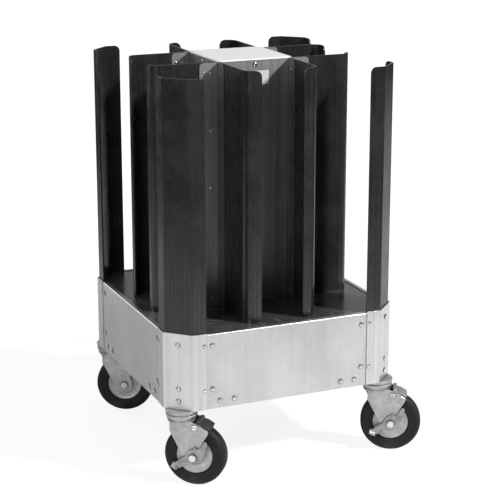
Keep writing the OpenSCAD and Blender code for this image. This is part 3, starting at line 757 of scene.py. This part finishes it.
DOME, FLUSH, SMALL = head(5.4, 2.2), head(4, 0.8), head(3, 1.4)
RIVET_HIGH, RIVET_MID, RIVET_LOW = BOX_UP - 25.5, BOX_Z + 42, BOX_Z + 16
RIVET_EDGE, RIVET_RUN, RIVET_SHIFT, LAP_RIVET = 12, (27.6, 58.6), 2, 5.7

panel_heads, corner_heads = [], []
for turns in range(4):
    for s in (-1, 1):
        places = [(RIVET_EDGE, RIVET_HIGH), (RIVET_EDGE, RIVET_MID)]
        places += [(run, RIVET_LOW) for run in RIVET_RUN]
        for run, z in places:
            place = (s * (FLANGE_END - run), -PANEL_OUT, z)
            panel_heads.append(quarter(stuck_on(DOME, place, (0, -1, 0)), turns))
        for z in (RIVET_HIGH, RIVET_MID - RIVET_SHIFT):
            place = (s * (FLANGE_END + LAP_RIVET), -HALF_MM + LAP_STEP, z)
            corner_heads.append(quarter(stuck_on(FLUSH, place, (0, -1, 0)), turns))
    flat = HALF_MM - FACET / 2
    for z in (RIVET_HIGH, RIVET_MID, RIVET_LOW):
        dome = stuck_on(DOME, (flat, flat, z + RIVET_SHIFT), (1, 1, 0))
        corner_heads.append(quarter(dome, turns))

WING_ROWS, WING_EDGE, CAP_RIVET_DROP = 5, 20, 9
SIDE_SHARE, FRONT_SHARE, SCREW_SHARE = 0.42, 0.6, 0.78
under_cap = stuck_on(DOME, (0, -COLUMN, SHEET_UP - CAP_RIVET_DROP), (0, -1, 0))
column_heads = [quarter(under_cap, k) for k in range(4)]
for name in CORNERS:
    for row, z in enumerate(np.linspace(SHEET_UP - WING_EDGE, DECK_UP + WING_EDGE, WING_ROWS)):
        rows = [(SIDE_WING * SIDE_SHARE, False), (FRONT_WING * FRONT_SHARE, True)]
        rows += [(SIDE_WING * SCREW_SHARE, False)] * (row % 2 == 0)
        for along, is_front in rows:
            pair = joined(stuck_on(SMALL, (COLUMN + along, COLUMN, z), (0, 1, 0)),
                          stuck_on(SMALL, (COLUMN + along, COLUMN - WING_DEEP, z), (0, -1, 0)))
            column_heads.append(by_corner(swapped(pair) if is_front else pair, name))

groups = {"panel": panel_heads, "corner": corner_heads, "column": column_heads}
print("rivet heads:", sum(riveted(place, heads) for place, heads in groups.items()))

PLATE_WIDE, PLATE_HIGH, PLATE_WALL, PLATE_ROUND, PLATE_RIGHT, PLATE_DROP = 42, 28.5, 0.8, 2.5, 9.5, 36
middle_z = SHEET_UP - PLATE_DROP
plate = square_outline(PLATE_RIGHT - PLATE_WIDE / 2, middle_z - PLATE_HIGH / 2,
                       PLATE_RIGHT + PLATE_WIDE / 2, middle_z + PLATE_HIGH / 2)
plate = prism(rounded(plate, PLATE_ROUND, closed=True), COLUMN, COLUMN + PLATE_WALL)
piece("bare_plate", moved(plate, (0, 0, 0), *FACING), "cap",
      instead_of=["blank_plate"], edge=0.2, look="plate")

# %% [markdown]
# ## Casters
#
# Every caster is drawn once in its own frame: x runs along its trail, y along its axle, z up
# from the floor, with the swivel axis at x = 0. The frame's joints then say where each one
# stands and which way it trails. Pressed steel has rolled rims and soft edges, so the race is
# a turned profile and the legs are outlines with a generous bevel.

# %% Caster sizes
WHEEL_R, TYRE_WIDE, DISC_R = 63.5, 32, 38
RACE_R, CUP_HIGH, RACE_HIGH, CROWN_HIGH = 33, 8, 11, 4
FORK_WALL, FORK_GAP, LEG_END = 3, 39.2, 18
BOLT_R, HUB_R, SLEEVE_R = 4.75, 13, 7.9
BRAKE_WALL, ARM_WALL, STUD_R, SHOULDER = 2.5, 2.2, 3, 9
STUD_X, STUD_Z = 0.05 * WHEEL_R, 0.99 * WHEEL_R
TRAIL = 30
RACE_UP = BOX_Z - CUP_HIGH - GAP
CROWN_UP = RACE_UP - RACE_HIGH
CROWN_LOW = CROWN_UP - CROWN_HIGH
LEG_X = FORK_GAP / 2
PIN_HEAD_R, PIN_HEAD_HIGH, PIN_R = 13, 3.5, 8


def at_caster(part, name):
    """Carries a part from the caster's own frame to its place under the box."""
    swivel, spin = JOINTS[f"swivel_{name}"], JOINTS[f"wheel_spin_{name}"]
    axle = np.array(spin["axis"], float)
    trail = np.array([axle[1], -axle[0], 0])
    origin = np.array([swivel["pos_m"][0] - MIDDLE.x, swivel["pos_m"][1] - MIDDLE.y, 0]) / MM
    return moved(part, origin, trail, axle, (0, 0, 1))


def about_axle(part):
    """A part laid towards the viewer's side, so that its Z axis becomes the axle."""
    return moved(part, (TRAIL, 0, WHEEL_R), *FACING)


def side_outline(outline, near, wall):
    """An outline in the wheel's plane, measured from the axle, drawn outwards to the viewer's side."""
    return about_axle(prism(outline, near, near + wall))


# %% Stems and forks
# Profiles as (inset from the rim's radius, drop from the top).
CUP_RIM = np.array([(0.9, FIT), (0.3, 0.4), (0, 1.2), (0, 2.9), (0.4, 3.7), (1.5, 4.1), (1.7, 6.9),
                    (2.5, 7.8), (3.6, CUP_HIGH)])
PIN_HEAD = np.array([(1, 0), (0, 1), (0, 2.2), (2.4, PIN_HEAD_HIGH), (PIN_HEAD_R, PIN_HEAD_HIGH)])
STEM_R, STEM_TIP_R, STEM_HIGH, STEM_ROOT = 6.35, 5, 20, 1
THREAD_DEEP, THREAD_POINTS = 0.45, 41


def stem():
    """Fixed upper cup with a rolled rim, a threaded stem above it and the kingpin below."""
    rim = [RACE_R, BOX_Z] - CUP_RIM
    end = [PIN_HEAD_R, CROWN_LOW - GAP] - PIN_HEAD
    pin = [(PIN_R, BOX_Z - CUP_HIGH), (PIN_R, CROWN_LOW - GAP)]
    cup = np.concatenate([[(0, BOX_Z - FIT)], rim, pin, end])
    top, root = BOX_Z + STEM_HIGH, BOX_Z - STEM_ROOT
    zigzag = STEM_R - THREAD_DEEP * (np.arange(THREAD_POINTS) % 2)
    thread = np.column_stack([zigzag, root + (top - BOX_Z) * np.linspace(0, 1, THREAD_POINTS)])
    shaft = np.concatenate([[(0, root)], thread, [(STEM_TIP_R, top), (0, top)]])
    return joined(turned(cup, 64), turned(shaft, 32))


LEG = np.array([(-0.775, 0.7), (-0.76, 1), (-0.1, 1), (0.16, 0.91), (0.52, 0.745), (0.21, 0.26)])
HEEL = (-0.36 * WHEEL_R, 1.5)


def fork_leg():
    """The leg's outline: over the crown's edge, down to the heel, and its rounded end round the axle."""
    upper = LEG * [WHEEL_R, CROWN_UP - WHEEL_R]
    ring = arc(LEG_END, np.radians(np.linspace(20, -150, 20)))
    crest = rounded(np.concatenate([upper, ring[:1]]), [0, 0, 4, 10, 5, 0, 0], steps=5)
    heel = rounded([ring[-1], HEEL, upper[0]], [0, 4, 0], steps=5)
    return np.concatenate([crest[:-1], ring, heel[1:-1]])


RACE_TOP_R, RACE_LOW_R, RACE_HOLE_R = RACE_R - 1, RACE_R - 4, PIN_R + 0.4
RACE_RIM = [(-2, 0), (-0.6, -0.4), (0, -1.4)]
RACE_CONE = [(RACE_TOP_R, 7.7), (RACE_TOP_R - 0.5, 6), (RACE_LOW_R + 0.5, 1.4), (RACE_LOW_R, 0.9),
             (RACE_LOW_R - 1.2, 0.5), (RACE_LOW_R - 1.2, -0.4), (RACE_HOLE_R, -0.4)]
CROWN_STEPS = 96


def race():
    """The turning race: a rolled top rim, an upright wall, and a cone down to a groove over the crown."""
    rim = np.array([RACE_TOP_R, RACE_UP]) + RACE_RIM
    cone = np.array([0, CROWN_UP]) + RACE_CONE
    return turned(np.concatenate([[(RACE_HOLE_R, RACE_UP)], rim, cone]), 72, closed=True)


def crown():
    """The crown: the race's circle cut straight at the legs' outer faces, with a hole for the kingpin."""
    angle = np.linspace(0, 2 * np.pi, CROWN_STEPS + 1)[:-1]
    half = LEG_X + FORK_WALL
    outline = np.clip(arc(RACE_LOW_R, angle), [-RACE_R, -half], [RACE_R, half])
    hole = arc(PIN_R + FIT, angle)
    ring = (outline, CROWN_LOW), (outline, CROWN_UP), (hole, CROWN_UP), (hole, CROWN_LOW)
    points = np.stack([at_height(side, level) for side, level in ring], axis=1)
    return points.reshape(-1, 3), tube_faces(CROWN_STEPS, len(ring), wrap=True)


NECK_STEPS, NECK_ROWS, NECK_TURN = 25, 7, 62
NECK_IN, NECK_DEEP, NECK_WALL = 3.2, 17, (2.0, 0, -0.6)


def neck():
    """The drawn back of the fork: from the race's rim inwards and down to the legs' back edges.

    Points run straight with a share t, from an arc of the race to the line between the legs."""
    turn = np.radians(np.linspace(-NECK_TURN, NECK_TURN, NECK_STEPS))
    t = np.linspace(0, 1, NECK_ROWS)[:, None]
    top = arc(RACE_R - NECK_IN, turn) * [-1, 1]
    low_x = TRAIL + LEG[0, 0] * WHEEL_R + 0.4
    low = np.column_stack([np.full(NECK_STEPS, low_x), np.linspace(-LEG_X - 1, LEG_X + 1, NECK_STEPS)])
    share = 1 - t[..., None]
    plan = share * top + (1 - share) * low
    level = np.broadcast_to(CROWN_UP - 0.2 - NECK_DEEP * t, plan.shape[:2])
    outer = np.concatenate([plan, level[..., None]], axis=2)
    shell = np.concatenate([outer, (outer + NECK_WALL)[::-1]])
    return shell.transpose(1, 0, 2).reshape(-1, 3), tube_faces(NECK_STEPS, 2 * NECK_ROWS, caps=True)


def fork():
    """The turning half of the caster: race, crown, neck and two legs."""
    leg = fork_leg()
    legs = [side_outline(leg, near, FORK_WALL) for near in (LEG_X, -LEG_X - FORK_WALL)]
    return joined(race(), crown(), neck(), *legs)


for name in CORNERS:
    piece(f"cup_stem_{name}", at_caster(stem(), name), "zinc", instead_of=[f"stem_{name}"], edge=0.3)
    piece(f"pressed_fork_{name}", at_caster(fork(), name), "zinc", f"fork_{name}", [f"fork_{name}"],
          edge=0.9, edge_steps=3)

# %% Wheels
CHAMFER, CHAMFER_SLOPE, FACE_IN, FACE_RISE = 1.0, 0.6, 0.5, 0.4
BOLT_HEAD, BOLT_END = 6, 9


def hexagon(flat, low, high):
    """A hexagon nut or head whose upper corners are turned off at about 30 degrees.

    Edge = (flat / 2) / cos(a), with a counted from the middle of the nearest side."""
    angle = np.radians(np.arange(0, 360, 10))
    edge = flat / 2 / np.cos((angle + np.pi / 6) % (np.pi / 3) - np.pi / 6)
    plan = arc(edge[:, None], angle)
    drop = np.maximum(edge - (flat / math.sqrt(3) - CHAMFER), 0) * CHAMFER_SLOPE
    rings = [(plan, low), (plan, high - FACE_RISE - drop), (arc(flat / 2 - FACE_IN, angle), high)]
    points = np.concatenate([at_height(ring, level) for ring, level in rings])
    return points, tube_faces(len(rings), len(angle), caps=True)


def axle(braked):
    """Bolt, head and nut on the axle; the sleeve that the wheel turns on."""
    far = LEG_X + FORK_WALL
    near = far + (BRAKE_WALL + 2 * GAP if braked else 0)
    bolt = turned([(0, -far - BOLT_END), (BOLT_R - 0.8, -far - BOLT_END), (BOLT_R, 0.8 - far - BOLT_END),
                   (BOLT_R, near + 0.2), (0, near + 0.2)], 32)
    nut = moved(hexagon(3 * BOLT_R, far, far + BOLT_HEAD), z=(0, 0, -1))
    sleeve = turned(square_outline(BOLT_R + FIT, -LEG_X, SLEEVE_R, LEG_X), 32, closed=True)
    return about_axle(joined(bolt, hexagon(3 * BOLT_R, near, near + BOLT_HEAD), nut, sleeve))


def framed_plate(outline, share, high, floor):
    """A plate with a sunk middle: the outline, the same at a share of its size, and a lower floor."""
    rings = [(outline, 0.0), (outline, high), (outline * share, high), (outline * share, floor)]
    points = np.concatenate([at_height(ring, level) for ring, level in rings])
    return points, tube_faces(len(rings), len(outline), caps=True)


SPRING_R, SPRING_FLAT, SPRING_LONG = 1.5, 0.9, 4.5
SPRING_TURN, SPRING_AT = math.radians(30), (24.5, 58)
STUD_HALF, STUD_ROUND, STUD_HIGH = 5, 1.2, 1.8


def studs():
    """Two square-headed studs through the legs carry the treadle's arms; a short rod lies behind each."""
    square = square_outline(-STUD_HALF, -STUD_HALF, STUD_HALF, STUD_HALF)
    square = rounded(square, STUD_ROUND, closed=True, steps=4)
    plate = framed_plate(square, share=0.5, high=STUD_HIGH, floor=0.15)
    reach = FORK_WALL + GAP + ARM_WALL
    shank = turned([(0, 0), (STUD_R, 0), (STUD_R, reach), (0, reach)], 24)
    flat, end = SPRING_FLAT, SPRING_LONG
    rod = turned([(0, -end), (flat, -end), (SPRING_R, flat - end),
                  (SPRING_R, end - flat), (flat, end), (0, end)], 20)
    slope = np.array([math.cos(SPRING_TURN), 0, -math.sin(SPRING_TURN)])
    parts = []
    for s in (-1, 1):
        base = s * (LEG_X + FORK_WALL)
        origin = (TRAIL + STUD_X, base, WHEEL_R + STUD_Z)
        parts.append(moved(plate, origin, (1, 0, 0), (0, 0, s), (0, s, 0)))
        parts.append(moved(shank, origin, (1, 0, 0), (0, 0, -s), (0, -s, 0)))
        parts.append(moved(rod, (TRAIL + SPRING_AT[0], base + 0.4 * s, WHEEL_R + SPRING_AT[1]),
                           (0, s, 0), np.cross(slope, (0, s, 0)), slope))
    return joined(*parts)


def both_sides(side):
    """A profile and its mirror image below, as one closed section."""
    return np.concatenate([side, np.array(side)[::-1] * [1, -1]])


def wheel_core():
    """Section of the core: hub, a dished disc with a rolled lip, and the rim under the tyre."""
    side = [(SLEEVE_R + FIT, 18), (HUB_R - 0.8, 18), (HUB_R, 17.2), (HUB_R + 0.5, 14.2), (HUB_R + 1.5, 12.8),
            (HUB_R + 4, 12.2), (26, 11.6), (31, 11.6), (34, 12.3), (35.5, 12.7), (36.6, 13), (DISC_R, 12.7)]
    return about_axle(turned(both_sides(side), 96, closed=True))


def tyre():
    """Section of the tyre: round shoulders, a flat tread, and a shallow groove beside the disc."""
    half = TYRE_WIDE / 2
    bend = arc(SHOULDER, np.radians(np.linspace(0, 90, 10)))[:, ::-1]
    top = np.array([WHEEL_R - SHOULDER, half - SHOULDER]) + bend
    side = [(0, 13.2), (0.6, 14.6), (2, 15.6), (4, half - 0.1), (6.5, half - 0.1),
            (7.3, half - 0.7), (8.2, half - 0.7), (9, half - 0.1)]
    side = np.array([DISC_R, 0]) + side
    return about_axle(turned(both_sides(np.concatenate([side, top])), 128, closed=True))


BRAKED = ("fl", "fr")
for name in CORNERS:
    bolts = joined(axle(True), studs()) if name in BRAKED else axle(False)
    piece(f"axle_bolt_{name}", at_caster(bolts, name), "bright_steel", f"fork_{name}", [f"axle_{name}"])
    piece(f"disc_{name}", at_caster(wheel_core(), name), "wheel_core",
          f"wheel_{name}", [f"wheel_core_{name}"])
    piece(f"rubber_{name}", at_caster(tyre(), name), "tyre", f"wheel_{name}", [f"tyre_{name}"])
print("4 casters")

# %% [markdown]
# ## Brakes
#
# The front casters have a treadle with two foot tabs above the wheel, on arms inside the fork,
# and a stamped lever on the axle bolt. Both are plates: the treadle's plate is one path with
# folds, and the lever is an outline with its toe turned outwards.

# %% Treadles and side levers
TREADLE_X = RACE_R - TRAIL + 0.75 + BRAKE_WALL / 2
TREADLE = np.array([(0, 1.17), (0.1, 1.17), (0.115, 1.075), (0.255, 1.049), (0.395, 0.965), (0.45, 0.923)])
ARM_R = 6.5


def treadle():
    """The folded plate across the wheel and its two arms."""
    path = TREADLE * WHEEL_R + [TREADLE_X, 0]
    reach = LEG_X - GAP
    band = rounded(path, [0, 1.6, 1.6, 8, 10, 0], steps=6)
    plate = about_axle(thick_sheet(band, BRAKE_WALL, -reach, reach))
    foot = [STUD_X, STUD_Z] + arc(ARM_R, np.radians(np.linspace(-60, -270, 18)))
    arm = np.concatenate([path, foot])
    return joined(plate, *[side_outline(arm, near, ARM_WALL) for near in (reach - ARM_WALL, -reach)])


LEVER = np.array([(-0.52, -0.42), (-0.36, -0.34), (-0.16, -0.23), (0.07, -0.23), (0.27, -0.17), (0.3, -0.02),
                  (0.38, 0.18), (0.47, 0.47), (0.45, 0.54), (0.37, 0.56), (0.25, 0.36), (0.18, 0.29),
                  (-0.05, 0.28), (-0.13, 0.23), (-0.27, 0.01), (-0.5, -0.15), (-0.71, -0.33)])
LEVER_ROUND = [1, 4, 5, 5, 5, 6, 8, 2, 2, 2, 8, 4, 5, 4, 8, 8, 1]
LEVER_HEAD, LEVER_HEAD_AT = (3.2, 1.6), (4.1, 20)
TOE_HIGH, TOE_BACK, TOE_THINNER = 9.4, 8.0, 0.1


def side_lever():
    """The stamped plate, its toe turned outwards, and the rivet above the hub."""
    near = LEG_X + FORK_WALL + GAP
    outline = rounded(LEVER * WHEEL_R, LEVER_ROUND, closed=True, steps=4)
    rivet_at = (TRAIL + LEVER_HEAD_AT[0], -near - BRAKE_WALL, WHEEL_R + LEVER_HEAD_AT[1])
    return joined(side_outline(outline, near, BRAKE_WALL), toe(near),
                  moved(head(*LEVER_HEAD), rivet_at, *FACING))


def toe(near):
    """The toe's lip: from inside the plate it curls outwards through a quarter turn.

    Point = (back (1 - sin t), out (1 - cos t)), drawn along the lever's short end from a to b."""
    a, b = np.array([LEVER[-1], LEVER[0]]) * WHEEL_R
    along = (b - a) / np.linalg.norm(b - a)
    turn = np.linspace(0, np.pi / 2, 9)
    back = TOE_BACK * (1 - np.sin(turn)) + BRAKE_WALL / 2
    out = near + BRAKE_WALL / 2 + (TOE_HIGH - BRAKE_WALL / 2) * (1 - np.cos(turn))
    lip = thick_sheet(np.column_stack([back, out]), BRAKE_WALL - TOE_THINNER, 0, np.linalg.norm(b - a))
    return moved(lip, (TRAIL + a[0], 0, WHEEL_R + a[1]),
                 (-along[1], 0, along[0]), (0, -1, 0), (along[0], 0, along[1]))


for name in BRAKED:
    # The front left treadle is the same zinc part as the front right one; its dark finish is painted shade, for it
    # stands in shadow under the box.
    look = "treadle" if name == "fl" else "zinc"
    piece(f"foot_treadle_{name}", at_caster(treadle(), name), "treadle",
          f"treadle_{name}", [f"treadle_{name}"], edge=0.5, look=look)
    piece(f"stamped_lever_{name}", at_caster(side_lever(), name), "zinc",
          f"side_lever_{name}", [f"side_lever_{name}"], edge=0.6, look="lever")
print("2 treadles, 2 side levers")

# %% [markdown]
# ## Floor and light
#
# The picture shows the cart cut out on white, so the floor mixes a plain white for the camera
# with its real shading, which leaves a soft shadow. To every other ray the floor is dark, but
# for three round sheets of paper on it. A camera that looks down sees the floor mirrored in an
# upright metal face, so the paper's place and soft edge decide how bright each side comes out.
# The shadows at the column's top run down at 45 degrees to the left, which gives the lamp: in
# front, as far to the right as it is above. A wide screen on the left opens up the facet of
# the front corner, and a large lamp behind rims the posts.

# %% Floor and backdrop
FLOOR_WHITE, FLOOR_GLOW, FAR_GLOW, FAR = 0.75, 1.15, 0.2, (0.6, 2.4)
# Centre, and the radii at which the edge starts to fade and ends.
SHEETS = [((-0.5, -0.1, 0), 1.3, 2.0), ((1.6, 2.2, 0), 2.0, 2.7), ((-2.3, 0.45, 0), 0.7, 1.2)]
ROOM_TONE, PAPER_TONE = 0.09, 0.9
bpy.ops.mesh.primitive_plane_add(size=40, location=(0, 0, 0))
floor = bpy.context.object
floor.name = "floor"
floor_paint = Paint("floor_white", Roughness=0.9)
start = floor_paint.start
camera_ray = start.node("ShaderNodeLightPath", out=0)
reach = start.node("ShaderNodeVectorMath", {"operation": "LENGTH"}, {0: floor_paint.place}, out=1)
bare = (1 - camera_ray) * (1 - ROOM_TONE)
for centre, near, far in SHEETS:
    ends = {0: floor_paint.place, 1: centre}
    spread = start.node("ShaderNodeVectorMath", {"operation": "DISTANCE"}, ends, out=1)
    bare = bare * spread.between(near, far)
floor_paint.feed("Base Color", floor_paint.grey(PAPER_TONE * (1 - bare)))
far_glow = FLOOR_GLOW + FAR_GLOW * reach.between(*FAR)
white = start.node("ShaderNodeEmission", {}, {"Color": (1, 1, 1, 1), "Strength": far_glow})
plain = Value(floor_paint.tree, floor_paint.shader.outputs[0])
shown = start.node("ShaderNodeMixShader", {}, {0: camera_ray * FLOOR_WHITE, 1: plain, 2: white})
floor_paint.tree.links.new(shown.socket, floor_paint.tree.nodes["Material Output"].inputs["Surface"])
floor.data.materials.append(floor_paint.material)

# %% The room
ROOM_LEVEL, ROOM_SWING, ROOF_LEVEL, BACK_LEVEL = 0.12, 0.08, 0.1, 0.42
SWING_TO = (0.5, -0.8)
world = bpy.data.worlds.new("studio")
bpy.context.scene.world = world
world.use_nodes = True
sky = world.node_tree
toward = Value(sky, None).node("ShaderNodeTexCoord", out=0)
side, front, height = [toward.node("ShaderNodeSeparateXYZ", {}, {"Vector": toward}, out=i) for i in range(3)]
glow = (SWING_TO[0] * side + SWING_TO[1] * front).between(-0.9, 0.9)
behind = front.between(0.3, 0.8) * (1 - height.between(0.35, 0.8))
level = ROOM_LEVEL + ROOM_SWING * (glow - 0.5) + ROOF_LEVEL * height.between(0.3, 1.0) + BACK_LEVEL * behind
camera_ray = toward.node("ShaderNodeLightPath", out=0)
strength = camera_ray + (1 - camera_ray) * level
sky.links.new(strength.socket, sky.nodes["Background"].inputs["Strength"])
sky.nodes["Background"].inputs["Color"].default_value = (1, 1, 1, 1)


# %% Lamps
LAMPS_AIM = Vector((0, 0, 0.45))


def lamp(name, direction, distance, size, watts):
    """A round lamp at a distance along a direction from what it aims at."""
    data = bpy.data.lights.new(name, "AREA")
    data.shape = "DISK"
    data.size = size
    data.energy = watts
    made = bpy.data.objects.new(name, data)
    out = Vector(direction).normalized()
    made.location = LAMPS_AIM + out * distance
    made.rotation_mode = "QUATERNION"
    made.rotation_quaternion = (-out).to_track_quat("-Z", "Y")
    made.visible_camera = False
    bpy.context.scene.collection.objects.link(made)


lamp("key", (0.55, -0.62, 0.56), distance=4.0, size=0.4, watts=186)
lamp("rim", (-0.62, 0.75, 0.35), distance=3.0, size=2.4, watts=19)
lamp("screen", (-0.75, -0.65, 0.35), distance=3.0, size=1.4, watts=30)
